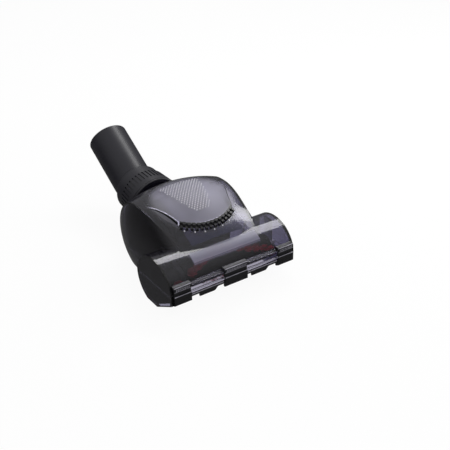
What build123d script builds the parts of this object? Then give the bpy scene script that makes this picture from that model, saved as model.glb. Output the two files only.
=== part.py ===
from build123d import *
import functools
import math
import os

# Mini turbo brush: a vacuum-cleaner head whose roller is driven by an air turbine.
# Millimetres. +X is right, -Y is the front, +Z is up. The origin lies on the flat
# sole, on the middle plane, below the crest of the turbine housing.

os.makedirs("parts", exist_ok=True)

# Head
HEAD_WIDTH = 132.0
WALL = 2.2
PARTING_Z = 21.7
PARTING_GAP = 0.1
INNER_GAP = 0.5

# Roller housing, an oval drum across the front
ROLLER_Y = -60.4
DRUM_Z = 21.7
DRUM_HALF_DEPTH = 29.2
DRUM_RISE = 25.9
SOLE_FRONT = -64.1
SOLE_REAR_OFFSET = 13.2
LIP_BOTTOM_Z = 14.4

# Turbine housing, a crowned barrel with a ramp that runs down to the drum
BARREL_Y = -1.4
BARREL_Z = 31.6
BARREL_RADIUS = 43.8
CROWN = 7.8
FRONT_CROWN = 1.0
CREST_HALF_WIDTH = 47.2
FRONT_HALF_WIDTH = 36.8
WAIST_BULGE = 6.4
HUB_FLAT = 5.6
RAMP_FRONT_Y = -81.1
RAMP_FRONT_Z = 40.1
RAMP_FRONT_SLOPE = 0.55
RAMP_STATIONS = 5

# Raised visor on the ramp, with the vent under its front edge
VISOR_FRONT_Y = -53.3
VISOR_FRONT_RISE = 4.7
VISOR_MERGE_Y = -9.4
VISOR_REAR_HALF = 43.4
VISOR_FRONT_HALF = 28.3
VISOR_SHOULDER_Y = -43.4
GRILLE_DEPTH = 3.8
GRILLE_BLOCKS = 14
GRILLE_BLOCK = 2.4
GRILLE_HEIGHT = 2.4
GRILLE_SPREAD = 75.0
SKIRT_THICK = 0.8
SKIRT_DROP = 0.7

# Roller
ROLLER_Z = 18.9
ROLLER_END_ROOM = 11.3
ROLLER_HALF = HEAD_WIDTH / 2 - ROLLER_END_ROOM
CORE_RADIUS = 11.3
BRISTLE_RADIUS = 18.4
TUFT_RADIUS = 1.6
TUFT_SOCKET = 2.5
TUFTS_PER_ROW = 14
TUFT_ROWS = 2
TUFT_TWIST = 150.0
TUFT_END_MARGIN = 4.0
PIN_RADIUS = 2.5
PIN_SOCKET = 12.0
PIN_END = 0.5
BUSH_SIZE = 11.4
BUSH_IN = ROLLER_HALF + 0.9
BUSH_THICK = 5.7
BUSH_OUT = BUSH_IN + BUSH_THICK
PIN_REACH = BUSH_OUT + PIN_END
BRACKET_IN = BUSH_IN + 1.0
BRACKET_THICK = 2.8
RUN_GAP = 0.05

# Belt drive on the left
BELT_WIDTH = 4.8
BELT_THICK = 1.2
BELT_GAP = 0.35
PULLEY_WIDTH = 5.8
ROLLER_PULLEY_R = 11.4
TURBINE_PULLEY_R = 5.7
PULLEY_TOOTH = 0.5
FLANGE_RISE = 2.1
FLANGE_THICK = 1.0

# Turbine
TURBINE_Y = -19.8
TURBINE_Z = 37.7
ROTOR_RADIUS = 17.4
ROTOR_HALF = 25.5
BLADES = 14
BLADE_THICK = 1.1
BLADE_LEAN = 38.0
ROTOR_HUB = 5.7
ROTOR_WEB = 1.6
SHAFT_RADIUS = 2.5
SHAFT_END = 1.0
SHAFT_RIGHT = 34.0
CHAMBER_HALF = ROTOR_HALF + 2.2
CHAMBER_WALL = 1.8
CHAMBER_FRONT = -39.6
BELT_OFF_MIDDLE = 0.15
BELT_X = BELT_OFF_MIDDLE - (BRACKET_IN + CHAMBER_HALF + CHAMBER_WALL) / 2
SHAFT_LEFT = BELT_X - PULLEY_WIDTH / 2 - SHAFT_END
BUSH_RADIUS = 4.8
BUSH_FLANGE = 6.2
GUIDE_GAP = 1.9
GUIDE_THICK = 1.5
COVER_EDGE_X = BELT_X + 5.2
COVER_THICK = 1.5
COVER_TIP_X = -FRONT_HALF_WIDTH + 2.0

# Neck: a barrel that tilts about X, a slotted collar and an elbow that swivels in it
PIVOT_SETBACK = 23.0
PIVOT_Y = BARREL_Y + BARREL_RADIUS - PIVOT_SETBACK
PIVOT_Z = 31.0
PIVOT_RADIUS = 17.9
PIVOT_HALF = 22.6
PIVOT_WALL = 2.0
CHAMBER_REAR = PIVOT_Y + 11.7
TRUNNION_RADIUS = 3.8
NECK_TILT = 6.3
COLLAR_START = 26.9
THROAT_RADIUS = 17.5
THROAT_BORE = 15.3
THROAT_FLARE = 0.8
THREAD_RADIUS = 25.0
THREAD_BORE = 22.0
THREAD_START = 2.5
THREAD_END = 11.0
COLLAR_LIP_R = 28.7
COLLAR_TOP_R = 26.8
COLLAR_LENGTH = 24.3
COLLAR_SLOTS = 44
SLOT_START = 9.5
SLOT_END = 23.0
SLOT_DEPTH = 0.9
SLOT_WIDTH = 1.5
SEAL_THICK = 1.0
FLANGE_RADIUS = 24.2
FLANGE_LENGTH = 4.0
SWIVEL_GAP = 0.35
TUBE_RADIUS = 20.8
TUBE_BORE = 17.8
TUBE_TILT = 31.0
ELBOW_AT = 43.5
ELBOW_RADIUS = 24.0
TUBE_LENGTH = 64.1
RING_RADIUS = 25.4
RING_LENGTH = 13.5
TILT_UP = 30.0
TILT_DOWN = 6.0
SLOT_SPARE = 5.0
SLOT_CLEARANCE = 1.5

# Front edge
BUMPER_TOP_Z = 31.1
BUMPER_THICK = 2.4
BUMPER_REACH = 1.2
LEDGE_HEIGHT = 3.2
RAIL_RADIUS = 1.6
RAIL_Z = 22.4
TEETH_TOP_Z = 20.4
TOOTH_PITCH = 27.8
NOTCH_WIDTH = 10.0
NOTCH_SLANT = 3.0
NOTCH_DEPTH = 3.6
NUB_RADIUS = 1.1
LUG_WIDTH = 24.0
END_LUG_WIDTH = 17.0
LUG_REACH = 2.4
LUG_TOP_Z = 33.0
LUG_HEAD = 4.6
LUG_RECESS = 4.4
LUG_RECESS_DEPTH = 1.4
LUG_CHAMFER = 1.0

# Screws
SCREW_RADIUS = 1.5
SCREW_HEAD_R = 2.9
SCREW_HEAD = 2.4
BOSS_RADIUS = 4.0
REAR_SCREW = (33.6, PIVOT_Y + 5.1)
FRONT_SCREW = (HEAD_WIDTH / 2 - 7.9, -40.6)
SCREW_GRIP = 11.5


def x_rod(radius, x_low, x_high, y, z):
    """Round bar along X."""
    return extrude(Plane.YZ.offset(x_low) * Pos(y, z) * Circle(radius), amount=x_high - x_low)


def x_slab(outline, x_low, x_high):
    """Prism along X from an outline given in Y and Z."""
    return extrude(Plane.YZ.offset(x_low) * outline, amount=x_high - x_low)


def block(x_low, x_high, y_low, y_high, z_low, z_high):
    """Plain box between two corners."""
    centre = Pos((x_low + x_high) / 2, (y_low + y_high) / 2, (z_low + z_high) / 2)
    return centre * Box(abs(x_high - x_low), y_high - y_low, z_high - z_low)


def closed(*points):
    return make_face(Polyline(*points, close=True))


def drum(inset):
    """Roller housing: half oval above, tucked flat sole below, open slope in front."""
    half = DRUM_HALF_DEPTH - inset
    rise = DRUM_RISE - inset
    sole = inset
    rear = ROLLER_Y + SOLE_REAR_OFFSET - inset / 2
    top = EllipticalCenterArc((ROLLER_Y, DRUM_Z), half, rise, start_angle=0, arc_size=180)
    knee = (ROLLER_Y + half * 0.86, DRUM_Z - half * 0.42)
    back = ThreePointArc((ROLLER_Y + half, DRUM_Z), knee, (rear, sole))
    lower = Polyline(
        (rear, sole),
        (SOLE_FRONT + inset / 2, sole),
        (ROLLER_Y - half, LIP_BOTTOM_Z + inset),
        (ROLLER_Y - half, DRUM_Z),
    )
    outline = make_face(top + back + lower)
    return x_slab(outline, -HEAD_WIDTH / 2 + inset, HEAD_WIDTH / 2 - inset)


def ramp_height(y):
    """Height of the middle of the ramp, level with the barrel's crest at its rear."""
    length = BARREL_Y - RAMP_FRONT_Y
    u = (y - RAMP_FRONT_Y) / length
    crest = BARREL_Z + BARREL_RADIUS
    start = RAMP_FRONT_Z * (2 * u**3 - 3 * u**2 + 1)
    lift = RAMP_FRONT_SLOPE * length * (u**3 - 2 * u**2 + u)
    return start + lift + crest * (3 * u**2 - 2 * u**3)


def side_arc(half, roof, sign):
    """One side of the turbine housing, from its widest point out to the roof's or floor's edge."""
    waist = half + WAIST_BULGE
    middle = (half + WAIST_BULGE * 0.75, BARREL_Z + sign * (HUB_FLAT + roof) / 2)
    return [(waist, BARREL_Z + sign * HUB_FLAT), middle, (half, BARREL_Z + sign * roof)]


def mirrored_arcs(points):
    """Arc through three points, and its mirror image across the middle plane."""
    right = ThreePointArc(*points)
    left = ThreePointArc(*[(-x, z) for x, z in points])
    return right + left


def ramp_section(y, top, inset):
    """Cross-section of the ramp: crowned roof, bulged sides, floor below the sole."""
    u = (y - RAMP_FRONT_Y) / (BARREL_Y - RAMP_FRONT_Y)
    spread = math.sin(math.pi / 2 * max(u, 0))
    half = FRONT_HALF_WIDTH + (CREST_HALF_WIDTH - FRONT_HALF_WIDTH) * spread - inset
    crown = FRONT_CROWN + (CROWN - FRONT_CROWN) * u
    peak = top - inset
    edge = peak - crown
    floor = BARREL_RADIUS - inset - CROWN
    upper = side_arc(half, edge - BARREL_Z, 1)
    lower = side_arc(half, floor, -1)
    outline = ThreePointArc((-half, edge), (0, peak), (half, edge))
    outline += mirrored_arcs(upper) + mirrored_arcs(lower)
    waist = upper[0][0]
    outline += Line((waist, upper[0][1]), (waist, lower[0][1]))
    outline += Line((-waist, upper[0][1]), (-waist, lower[0][1]))
    outline += Line((-half, BARREL_Z - floor), (half, BARREL_Z - floor))
    section = Plane.XZ.offset(-y)
    return section * make_face(outline)


def ramp(height_of, inset, front):
    """Loft from the drum to the crest; under the drum's middle the drum itself is the floor."""
    stations = [front + (BARREL_Y - front) * i / (RAMP_STATIONS - 1) for i in range(RAMP_STATIONS)]
    body = loft([ramp_section(y, height_of(y), inset) for y in stations])
    body -= block(-HEAD_WIDTH, HEAD_WIDTH, front - 1, BARREL_Y + 1, -HEAD_WIDTH, inset)
    return body - block(-HEAD_WIDTH, HEAD_WIDTH, front - 1, ROLLER_Y + SOLE_REAR_OFFSET, -1, DRUM_Z)


def barrel(inset):
    """Rear of the turbine housing: crowned drum with domed ends, flat below."""
    half = CREST_HALF_WIDTH - inset
    hub = half + WAIST_BULGE
    radius = BARREL_RADIUS - inset
    edge = radius - CROWN
    outline = Polyline((-hub, HUB_FLAT), (-hub, 0), (hub, 0), (hub, HUB_FLAT))
    bulge = half + WAIST_BULGE * 0.75
    outline += ThreePointArc((hub, HUB_FLAT), (bulge, (HUB_FLAT + edge) / 2), (half, edge))
    outline += ThreePointArc((half, edge), (0, radius), (-half, edge))
    outline += ThreePointArc((-half, edge), (-bulge, (HUB_FLAT + edge) / 2), (-hub, HUB_FLAT))
    axis = Axis((0, BARREL_Y, BARREL_Z), (1, 0, 0))
    body = revolve(Plane.XZ.offset(-BARREL_Y) * Pos(0, BARREL_Z) * make_face(outline), axis)
    reach = BARREL_Y + BARREL_RADIUS + 1
    return body & block(-HEAD_WIDTH, HEAD_WIDTH, BARREL_Y, reach, inset, BARREL_Z + BARREL_RADIUS)


@functools.cache
def envelope(inset):
    """The head's outer form, or its inner one when inset by the wall."""
    return drum(inset) + ramp(ramp_height, inset, RAMP_FRONT_Y + inset) + barrel(inset)


def visor_height(y):
    """The visor stands above the ramp at its front and sinks into it near the crest."""
    share = (VISOR_MERGE_Y - y) / (VISOR_MERGE_Y - VISOR_FRONT_Y)
    return ramp_height(y) + VISOR_FRONT_RISE * share


def visor_outline(grow):
    """Shield seen from above: flared shoulders at the rear, a round nose in front."""
    nose_y = VISOR_FRONT_Y - grow
    half = VISOR_FRONT_HALF + grow
    rear_half = VISOR_REAR_HALF + grow
    waist = ((half + rear_half) / 2 - 1.5, (VISOR_SHOULDER_Y + VISOR_MERGE_Y) / 2)
    nose = ThreePointArc((-half, VISOR_SHOULDER_Y), (0, nose_y), (half, VISOR_SHOULDER_Y))
    right = ThreePointArc((half, VISOR_SHOULDER_Y), waist, (rear_half, VISOR_MERGE_Y))
    left = ThreePointArc((-rear_half, VISOR_MERGE_Y), (-waist[0], waist[1]), (-half, VISOR_SHOULDER_Y))
    rear = Polyline(
        (rear_half, VISOR_MERGE_Y),
        (rear_half, BARREL_Y),
        (-rear_half, BARREL_Y),
        (-rear_half, VISOR_MERGE_Y),
    )
    return make_face(nose + right + rear + left)


def visor_column(grow, z_low, z_high):
    return extrude(Plane.XY.offset(z_low) * visor_outline(grow), amount=z_high - z_low)


def neck_point(along):
    """Point on the collar's axis, measured from the tilt axis."""
    tilt = math.radians(NECK_TILT)
    return (0, PIVOT_Y + along * math.cos(tilt), PIVOT_Z + along * math.sin(tilt))


def neck_direction(tilt_deg):
    tilt = math.radians(tilt_deg)
    return (0, math.cos(tilt), math.sin(tilt))


def neck_turned(*profile):
    """Ring about the collar's axis from points of radius and distance behind the lip."""
    tilt = math.radians(NECK_TILT)
    lip = neck_point(COLLAR_START)
    plane = Plane(origin=lip, x_dir=(1, 0, 0), z_dir=(0, -math.sin(tilt), math.cos(tilt)))
    return revolve(plane * closed(*profile), Axis(lip, neck_direction(NECK_TILT)))


def neck_slot():
    """Opening in the rear of the head that lets the throat tilt through its range."""
    offset = THROAT_RADIUS + SLOT_CLEARANCE
    up = math.radians(NECK_TILT + TILT_UP + SLOT_SPARE)
    down = math.radians(NECK_TILT - TILT_DOWN)
    reach = BARREL_RADIUS * 1.5
    top_in = (PIVOT_Y - offset * math.sin(up), PIVOT_Z + offset * math.cos(up))
    top_out = (top_in[0] + reach * math.cos(up), top_in[1] + reach * math.sin(up))
    low_in = (PIVOT_Y + offset * math.sin(down), PIVOT_Z - offset * math.cos(down))
    low_out = (low_in[0] + reach * math.cos(down), low_in[1] + reach * math.sin(down))
    return x_slab(closed(top_in, top_out, low_out, low_in), -offset, offset)


def screw_places():
    """X, Y and head level of each screw: two behind, two in the drum's ends."""
    places = []
    for side in (-1, 1):
        places.append((side * REAR_SCREW[0], REAR_SCREW[1], WALL + 4.0))
        places.append((side * FRONT_SCREW[0], FRONT_SCREW[1], WALL + 12.0))
    return places


def upright(radius, x, y, z_low, z_high):
    return extrude(Plane.XY.offset(z_low) * Pos(x, y) * Circle(radius), amount=z_high - z_low)


def drum_plate(x_low, x_high, z_low, z_high):
    """Plate across the inside of the drum, tight to its wall."""
    span = block(x_low, x_high, ROLLER_Y - DRUM_HALF_DEPTH, ROLLER_Y + DRUM_HALF_DEPTH, z_low, z_high)
    return drum(WALL / 2) & span


def front_cut():
    """Room for the clear bumper along the front edge."""
    limit = HEAD_WIDTH / 2 - WALL
    rear = ROLLER_Y - DRUM_HALF_DEPTH + BUMPER_THICK + 1.5
    return block(-limit, limit, ROLLER_Y - DRUM_HALF_DEPTH - 5, rear, -1, BUMPER_TOP_Z)


outer = envelope(0)
inner = envelope(WALL)
lining = envelope(WALL + INNER_GAP)
slot = neck_slot()
ceiling = BARREL_Z + BARREL_RADIUS + VISOR_FRONT_RISE
above = block(-HEAD_WIDTH, HEAD_WIDTH, -150, 150, PARTING_Z + PARTING_GAP / 2, ceiling)
below = block(-HEAD_WIDTH, HEAD_WIDTH, -150, 150, -1, PARTING_Z - PARTING_GAP / 2)


def make_upper_housing():
    """Clear upper moulding with the visor, screw towers and bush keepers."""
    raised = ramp(visor_height, 0, VISOR_FRONT_Y - 4) & visor_column(0, PARTING_Z, ceiling)
    shell = (outer + raised) - inner
    for x, y, _ in screw_places():
        tower = upright(BOSS_RADIUS, x, y, PARTING_Z, ceiling) & envelope(WALL / 2)
        shell += tower
        shell -= upright(SCREW_RADIUS, x, y, 0, PARTING_Z + SCREW_GRIP)
    for side in (-1, 1):
        x_a = side * (BRACKET_IN + 1)
        x_b = side * (BRACKET_IN + 2.5)
        low = ROLLER_Z + BUSH_SIZE / 2 + RUN_GAP
        keeper = drum_plate(min(x_a, x_b), max(x_a, x_b), low, DRUM_Z + DRUM_RISE)
        shell += keeper & block(-HEAD_WIDTH, HEAD_WIDTH, ROLLER_Y - 5, ROLLER_Y + 5, low, ceiling)
    return (shell & above) - slot - front_cut()


def make_lower_housing():
    """Clear lower moulding: sole, suction mouth, roller brackets and screw bosses."""
    shell = outer - inner
    mouth_half = BRACKET_IN - 1
    mouth_front = ROLLER_Y - DRUM_HALF_DEPTH - 1
    mouth_rear = ROLLER_Y + BRISTLE_RADIUS - 1
    shell -= block(-mouth_half, mouth_half, mouth_front, mouth_rear, -1, LIP_BOTTOM_Z)
    for side in (-1, 1):
        x_a = side * BRACKET_IN
        x_b = side * (BRACKET_IN + BRACKET_THICK)
        plate = drum_plate(min(x_a, x_b), max(x_a, x_b), 0, PARTING_Z)
        half = BUSH_SIZE / 2
        y_low, y_high = ROLLER_Y - half, ROLLER_Y + half
        seat = block(-HEAD_WIDTH, HEAD_WIDTH, y_low, y_high, ROLLER_Z - half, ceiling)
        shell += plate - seat
    for x, y, head_z in screw_places():
        boss = upright(BOSS_RADIUS, x, y, 0, PARTING_Z) & envelope(WALL / 2)
        shell += boss
        shell -= upright(SCREW_RADIUS + 0.2, x, y, -1, PARTING_Z + 1)
        shell -= upright(SCREW_HEAD_R + 0.1, x, y, -1, head_z)
    return (shell & below) - slot - front_cut()


def make_vent_grille():
    """Two staggered rows of blocks that step down in front of the visor's nose."""
    centre_y = nose_centre_y()
    start = nose_radius() + PARTING_GAP
    front = VISOR_FRONT_Y - 8

    def level(rise):
        return ramp(lambda y: ramp_height(y) + rise, 0, front)

    floor = level(PARTING_GAP / 2)
    middle = level(GRILLE_HEIGHT * 0.9)
    strip = ring_sector(centre_y, start, start + GRILLE_DEPTH * 0.3, GRILLE_SPREAD)
    body = extrude(Plane.XY.offset(PARTING_Z) * strip, amount=ceiling)
    body = (body & level(GRILLE_HEIGHT * 1.8)) - floor
    step = GRILLE_SPREAD / GRILLE_BLOCKS
    rows = ((GRILLE_BLOCKS, GRILLE_DEPTH, floor, level(GRILLE_HEIGHT)),
            (GRILLE_BLOCKS - 1, GRILLE_DEPTH * 0.6, middle, level(GRILLE_HEIGHT * 1.9)))
    for count, depth, base, top in rows:
        blocks = Sketch()
        for i in range(count):
            angle = (i - (count - 1) / 2) * step
            a = math.radians(angle - 90)
            mid = start + depth / 2
            spot = Pos(mid * math.cos(a), centre_y + mid * math.sin(a)) * Rot(0, 0, angle + 90)
            blocks += spot * Rectangle(depth, GRILLE_BLOCK)
        body += (extrude(Plane.XY.offset(PARTING_Z) * blocks, amount=ceiling) & top) - base
    return body


def make_visor_skirt(side):
    """Black blade along the step at one side of the visor, a little lower than its edge."""
    blade = visor_column(PARTING_GAP + SKIRT_THICK, PARTING_Z, ceiling)
    blade -= visor_column(PARTING_GAP, PARTING_Z, ceiling)
    front, rear = VISOR_SHOULDER_Y + 0.5, VISOR_MERGE_Y - 6
    blade &= block(0, side * HEAD_WIDTH, front, rear, -1, 2 * ceiling)
    top = ramp(lambda y: visor_height(y) - SKIRT_DROP, 0, VISOR_FRONT_Y - 4)
    floor = ramp(lambda y: ramp_height(y) + PARTING_GAP / 2, 0, VISOR_FRONT_Y - 4)
    return (blade & top) - floor


def nose_radius():
    """Radius of the visor's round nose, from its width and its depth."""
    depth = VISOR_SHOULDER_Y - VISOR_FRONT_Y
    return (VISOR_FRONT_HALF**2 + depth**2) / (2 * depth)


def nose_centre_y():
    return VISOR_FRONT_Y + nose_radius()


def ring_sector(centre_y, inner_r, outer_r, spread):
    """Flat ring piece about a point on the middle plane, opening towards the front."""
    half = math.radians(spread / 2)

    def at(radius, angle):
        return (radius * math.sin(angle), centre_y - radius * math.cos(angle))

    outside = ThreePointArc(at(outer_r, -half), at(outer_r, 0), at(outer_r, half))
    inside = ThreePointArc(at(inner_r, half), at(inner_r, 0), at(inner_r, -half))
    ends = Line(at(outer_r, half), at(inner_r, half)) + Line(at(inner_r, -half), at(outer_r, -half))
    return make_face(outside + inside + ends)


def notch(x, face_y, back_y):
    """Gap between two teeth: upright on its right, slanted on its left."""
    right = x + NOTCH_WIDTH / 2
    left = x - NOTCH_WIDTH / 2
    outline = closed(
        (right, LIP_BOTTOM_Z - 1),
        (right, LIP_BOTTOM_Z + NOTCH_DEPTH),
        (left, LIP_BOTTOM_Z + NOTCH_DEPTH),
        (left - NOTCH_SLANT, LIP_BOTTOM_Z),
        (left - NOTCH_SLANT, LIP_BOTTOM_Z - 1),
    )
    return extrude(Plane.XZ.offset(-back_y) * outline, amount=back_y - face_y)


def bumper_room(back):
    """Room for the clips along the front edge."""
    face_y = ROLLER_Y - DRUM_HALF_DEPTH
    room = PARTING_GAP
    spans = [block(low - room, high + room, face_y - 5, back, 0, ceiling) for low, high in lug_spans()]
    return spans


def make_front_bumper():
    """Clear front bar: a ledge on top and a round rail below it."""
    limit = HEAD_WIDTH / 2 - WALL - PARTING_GAP
    face_y = ROLLER_Y - DRUM_HALF_DEPTH
    back_y = face_y + BUMPER_THICK
    front_y = face_y - BUMPER_REACH
    recess_y = face_y + 0.6
    top = BUMPER_TOP_Z - PARTING_GAP
    bar = closed(
        (back_y, top),
        (face_y + 1.2, top),
        (front_y, top - 1.4),
        (front_y, top - LEDGE_HEIGHT),
        (recess_y, top - LEDGE_HEIGHT - 0.8),
        (recess_y, TEETH_TOP_Z + PARTING_GAP),
        (back_y, TEETH_TOP_Z + PARTING_GAP),
    )
    rail = x_rod(RAIL_RADIUS, -limit, limit, recess_y - 0.4, RAIL_Z)
    return x_slab(bar, -limit, limit) + rail - bumper_room(recess_y)


def make_tooth_strip():
    """Black strip below the bumper, with teeth between slanted notches."""
    limit = HEAD_WIDTH / 2 - WALL - PARTING_GAP
    face_y = ROLLER_Y - DRUM_HALF_DEPTH
    back_y = face_y + BUMPER_THICK
    front_y = face_y - BUMPER_REACH
    bar = closed(
        (back_y, TEETH_TOP_Z),
        (front_y + 0.8, TEETH_TOP_Z),
        (front_y, TEETH_TOP_Z - 0.8),
        (face_y - 0.4, LIP_BOTTOM_Z),
        (back_y, LIP_BOTTOM_Z),
    )
    body = x_slab(bar, -limit, limit)
    for index in (-1.5, -0.5, 0.5, 1.5):
        x = index * TOOTH_PITCH
        body -= notch(x, face_y - 5, back_y + 1)
        corner = x + NOTCH_WIDTH / 2
        body += x_rod(NUB_RADIUS, corner, corner + 2 * NUB_RADIUS, face_y + NUB_RADIUS + 0.3, LIP_BOTTOM_Z)
    return body - bumper_room(face_y + 0.6)


def lug_spans():
    """Left, centre and right clip: where each starts and ends along X."""
    end = HEAD_WIDTH / 2 - WALL
    half = LUG_WIDTH / 2
    return [(-end, -end + END_LUG_WIDTH), (-half, half), (end - END_LUG_WIDTH, end)]


def make_front_lug(low, high):
    """Black clip on the front edge: a head, a recess for the fingers and a foot."""
    back_y = ROLLER_Y - DRUM_HALF_DEPTH + 0.6
    front_y = ROLLER_Y - DRUM_HALF_DEPTH - LUG_REACH
    recess_y = front_y + LUG_RECESS_DEPTH
    head_z = LUG_TOP_Z - LUG_HEAD
    foot_z = head_z - LUG_RECESS
    outline = closed(
        (back_y, LIP_BOTTOM_Z),
        (front_y + 1.5 * LUG_CHAMFER, LIP_BOTTOM_Z),
        (front_y, LIP_BOTTOM_Z + LUG_CHAMFER),
        (front_y, foot_z - LUG_CHAMFER / 2),
        (recess_y, foot_z),
        (recess_y, head_z),
        (front_y + 0.3, head_z + LUG_CHAMFER / 2),
        (front_y + 0.5, LUG_TOP_Z - 1.5 * LUG_CHAMFER),
        (front_y + 0.5 + LUG_CHAMFER, LUG_TOP_Z),
        (back_y + LUG_REACH, LUG_TOP_Z),
        (back_y + LUG_REACH, BUMPER_TOP_Z),
        (back_y, BUMPER_TOP_Z),
    )
    return x_slab(outline, low, high) - outer_front_skin()


def outer_front_skin():
    """What the clips lie on above the bumper, with a hair of room."""
    return drum(-0.05) & block(-HEAD_WIDTH, HEAD_WIDTH, -150, ROLLER_Y, BUMPER_TOP_Z - 0.05, ceiling)


def make_chamber_wall(side):
    """Side of the turbine chamber: stands on the sole and carries turbine and neck."""
    x_a = side * CHAMBER_HALF
    x_b = side * (CHAMBER_HALF + CHAMBER_WALL)
    low, high = min(x_a, x_b), max(x_a, x_b)
    plate = envelope(WALL + 0.05) & block(low, high, CHAMBER_FRONT, CHAMBER_REAR, 0, ceiling)
    plate -= x_rod(BRISTLE_RADIUS + 2, low - 1, high + 1, ROLLER_Y, ROLLER_Z)
    plate -= x_rod(BUSH_RADIUS, low - 1, high + 1, TURBINE_Y, TURBINE_Z)
    plate -= x_rod(TRUNNION_RADIUS + RUN_GAP, low - 1, high + 1, PIVOT_Y, PIVOT_Z)
    for x, y, _ in screw_places():
        plate -= upright(BOSS_RADIUS + 0.3, x, y, -1, ceiling)
    return plate


def make_air_guide():
    """Curved trough below the turbine that turns the air on to its blades."""
    inside = ROTOR_RADIUS + GUIDE_GAP
    outside = inside + GUIDE_THICK
    width = CHAMBER_HALF
    tube = x_rod(outside, -width, width, TURBINE_Y, TURBINE_Z)
    tube -= x_rod(inside, -width - 1, width + 1, TURBINE_Y, TURBINE_Z)
    brow = TURBINE_Z - inside * 0.35
    trough = tube & block(-width, width, -150, TURBINE_Y + inside * 0.5, -1, brow)
    front = TURBINE_Y - outside
    leg = block(-width, width, front, front + GUIDE_THICK, WALL, brow)
    leg -= x_rod(inside + GUIDE_THICK / 2, -width - 1, width + 1, TURBINE_Y, TURBINE_Z)
    return trough + leg


def make_belt_cover():
    """Black cover behind the left side of the turbine housing, from its rear to the ramp's tip."""
    region = closed(
        (-HEAD_WIDTH, RAMP_FRONT_Y),
        (COVER_TIP_X, RAMP_FRONT_Y),
        (COVER_EDGE_X, CHAMBER_FRONT),
        (COVER_EDGE_X, BARREL_Y + BARREL_RADIUS),
        (-HEAD_WIDTH, BARREL_Y + BARREL_RADIUS),
    )
    low = WALL + PARTING_GAP
    reach = extrude(Plane.XY.offset(low) * region, amount=ceiling - low)
    skin = lining - envelope(WALL + INNER_GAP + COVER_THICK)
    return (skin & reach) - drum(-1.0)


def pulley(radius, teeth, y, z, bore):
    """Toothed belt pulley with one flange."""
    low = BELT_X - PULLEY_WIDTH / 2
    high = BELT_X + PULLEY_WIDTH / 2
    wheel = x_rod(radius, low, high, y, z)
    for tooth in range(teeth):
        angle = 2 * math.pi * tooth / teeth
        groove_y = y + radius * math.cos(angle)
        groove_z = z + radius * math.sin(angle)
        turn = Rot(0, 0, math.degrees(angle))
        groove = Pos(groove_y, groove_z) * turn * Rectangle(PULLEY_TOOTH * 2, PULLEY_TOOTH * 2)
        wheel -= x_slab(groove, low - 1, high + 1)
    wheel += x_rod(radius + FLANGE_RISE, high, high + FLANGE_THICK, y, z)
    return wheel - x_rod(bore, low - 1, high + 2, y, z)


def make_drive_belt():
    """Flat belt round both pulleys, with running room all round."""
    low = BELT_X - BELT_WIDTH / 2

    def loop(extra):
        big = Pos(ROLLER_Y, ROLLER_Z) * CenterArc((0, 0), ROLLER_PULLEY_R + BELT_GAP + extra, 0, 360)
        small = Pos(TURBINE_Y, TURBINE_Z) * CenterArc((0, 0), TURBINE_PULLEY_R + BELT_GAP + extra, 0, 360)
        return make_hull(big.edges() + small.edges())

    band = loop(BELT_THICK) - loop(0)
    return x_slab(band, low, low + BELT_WIDTH)


def make_turbine_rotor():
    """Air turbine: hub, middle web and a ring of curved blades, open at both sides."""
    inner_r = ROTOR_HUB
    tip = ROTOR_RADIUS
    lean = math.radians(BLADE_LEAN)
    mid_r = (inner_r + tip) / 2
    spine = ThreePointArc(
        (inner_r - 1, 0),
        (mid_r * math.cos(lean * 0.22), mid_r * math.sin(lean * 0.22)),
        (tip * math.cos(lean), tip * math.sin(lean)),
    )
    blade = trace(spine, line_width=BLADE_THICK)
    blades = Sketch()
    for i in range(BLADES):
        blades += Rot(0, 0, 360 * i / BLADES) * blade
    blades &= Circle(tip)
    blades += Circle(inner_r)
    rotor = x_slab(Pos(TURBINE_Y, TURBINE_Z) * blades, -ROTOR_HALF, ROTOR_HALF)
    rotor += x_rod(tip, -ROTOR_WEB / 2, ROTOR_WEB / 2, TURBINE_Y, TURBINE_Z)
    return rotor - x_rod(SHAFT_RADIUS, -ROTOR_HALF - 1, ROTOR_HALF + 1, TURBINE_Y, TURBINE_Z)


def make_turbine_bush(side):
    """Flanged bush in the chamber wall."""
    x_a = side * (CHAMBER_HALF - 1)
    x_b = side * CHAMBER_HALF
    x_c = side * (CHAMBER_HALF + CHAMBER_WALL)
    bush = x_rod(BUSH_FLANGE, min(x_a, x_b), max(x_a, x_b), TURBINE_Y, TURBINE_Z)
    bush += x_rod(BUSH_RADIUS, min(x_b, x_c), max(x_b, x_c), TURBINE_Y, TURBINE_Z)
    return bush - x_rod(SHAFT_RADIUS + RUN_GAP, -60, 60, TURBINE_Y, TURBINE_Z)


def tuft_places():
    """Distance along the roller and angle of each tuft, two rows in shallow chevrons."""
    places = []
    span = 2 * (ROLLER_HALF - TUFT_END_MARGIN)
    for row in range(TUFT_ROWS):
        for i in range(TUFTS_PER_ROW):
            along = -span / 2 + span * i / (TUFTS_PER_ROW - 1)
            if abs(along - BELT_X) < PULLEY_WIDTH:
                continue
            angle = 360 * row / TUFT_ROWS + TUFT_TWIST * abs(along) / span
            places.append((along, angle))
    return places


def tufts(length):
    """Tapered bundles of bristle, from inside the core to the given radius."""
    solids = []
    for along, angle in tuft_places():
        foot = Location((along, ROLLER_Y, ROLLER_Z)) * Rot(angle, 0, 0)
        root = CORE_RADIUS - TUFT_SOCKET
        spoke = extrude(Plane.XY.offset(root) * RegularPolygon(TUFT_RADIUS, 6), amount=length - root)
        solids.append(foot * spoke)
    return solids


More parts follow.
